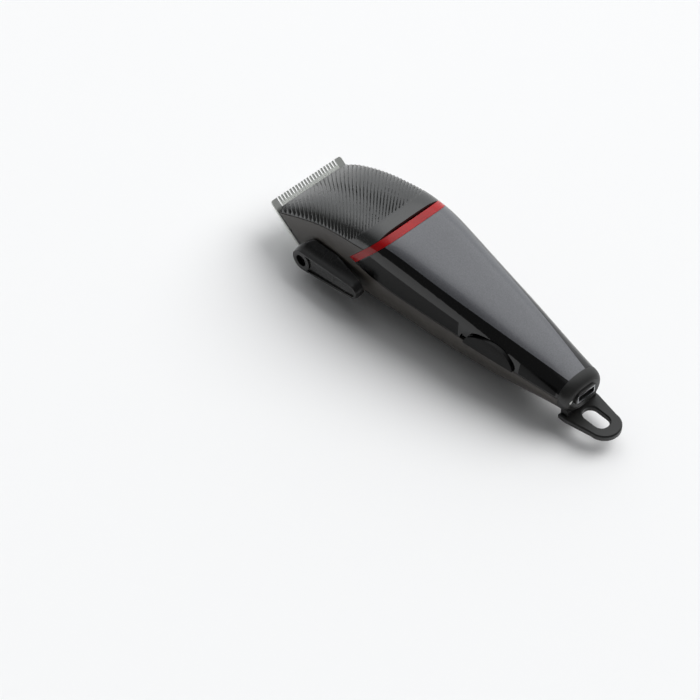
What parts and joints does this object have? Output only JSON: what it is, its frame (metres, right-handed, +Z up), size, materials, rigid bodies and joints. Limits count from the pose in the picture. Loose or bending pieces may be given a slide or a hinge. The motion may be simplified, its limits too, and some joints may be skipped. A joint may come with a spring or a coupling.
{
  "type": "hair clipper",
  "caption": "Cordless hair clipper with a toothed steel blade set, a ribbed head cover, a thumb lever for cutting length, a slide switch, a charging socket and a hang loop.",
  "frame": {"origin": "middle of the flat rest face under the belly", "axes": "+X from the blade tips to the hang loop, +Z up through the top panel, -Y on the side with the taper lever and the switch"},
  "size_m": [0.1847, 0.0499, 0.0435],
  "materials": {
    "shell_grey": "satin moulded ABS, warm dark grey",
    "cover_grey": "satin moulded ABS with fine ribs, dark grey",
    "gloss_black": "polished ABS, black",
    "panel_grey": "metallic lacquered ABS, grey",
    "clear_red": "tinted clear plastic, red",
    "matte_black": "fine textured nylon, black",
    "lever_black": "satin ABS, black",
    "blade_steel": "ground carbon steel",
    "bright_steel": "zinc plated steel",
    "bronze": "sintered bronze",
    "dark_magnet": "ferrite and laminated iron",
    "white_nylon": "moulded nylon, natural",
    "clear_lens": "clear acrylic",
    "cell_sleeve": "sleeved steel can",
    "foam": "closed cell foam",
    "lead_red": "insulated wire",
    "board_green": "coated glass fibre board"
  },
  "bodies": {
    "housing": {"lower_shell": "shell_grey", "upper_shell": "gloss_black", "head_cover": "cover_grey", "trim_ring": "clear_red", "top_panel": "panel_grey", "left_side_strip_front": "gloss_black", "left_side_strip_rear": "gloss_black", "right_side_strip_front": "gloss_black", "right_side_strip_rear": "gloss_black", "end_cap": "matte_black", "charging_socket": "bright_steel", "socket_tongue": "matte_black", "charge_led": "clear_lens", "case_screws": "bright_steel", "battery_cell": "cell_sleeve", "battery_tabs": "bright_steel", "battery_foam": "foam", "battery_leads": "lead_red", "circuit_board": "board_green", "board_screws": "bright_steel", "switch_housing": "bright_steel", "motor_leads": "lead_red", "motor_can": "bright_steel", "motor_end_bell": "white_nylon", "motor_magnets": "dark_magnet", "motor_bushing": "bronze", "motor_bracket": "matte_black", "motor_screws": "bright_steel", "lever_washer": "bright_steel"},
    "carriage": {"fixed_blade": "blade_steel", "blade_carrier": "matte_black", "blade_screws": "bright_steel", "slide_retainer": "white_nylon", "retainer_screws": "bright_steel", "pressure_spring": "bright_steel"},
    "cutter": {"moving_blade": "blade_steel", "cutter_follower": "white_nylon"},
    "rotor": {"motor_shaft": "bright_steel", "motor_armature": "dark_magnet", "motor_commutator": "bronze", "eccentric_cam": "white_nylon"},
    "lever": {"taper_lever": "lever_black", "lever_cam": "bright_steel", "lever_screw": "bright_steel"},
    "switch": {"switch_button": "lever_black", "switch_knob": "matte_black"}
  },
  "joints": [
    {"name": "taper_lever_turn", "type": "hinge", "parent": "housing", "child": "lever", "pos_m": [-0.0575, -0.025, 0.011], "axis": [0, -1, 0], "range_deg": [0, 38]},
    {"name": "fixed_blade_slide", "type": "slide", "parent": "housing", "child": "carriage", "axis": [0.8039, 0, -0.5948], "range_m": [0, 0.0015]},
    {"name": "cutter_slide", "type": "slide", "parent": "housing", "child": "cutter", "axis": [0, 1, 0], "range_m": [-0.0009, 0.0009]},
    {"name": "rotor_spin", "type": "hinge", "parent": "housing", "child": "rotor", "pos_m": [-0.035, 0, 0.0176], "axis": [1, 0, 0], "continuous": true},
    {"name": "switch_slide", "type": "slide", "parent": "housing", "child": "switch", "axis": [-0.9945, -0.1045, 0], "range_m": [0, 0.0024]}
  ],
  "couplings": [
    {"joint": "taper_lever_turn", "follows": "fixed_blade_slide", "rad_per_m": 442.14}
  ]
}
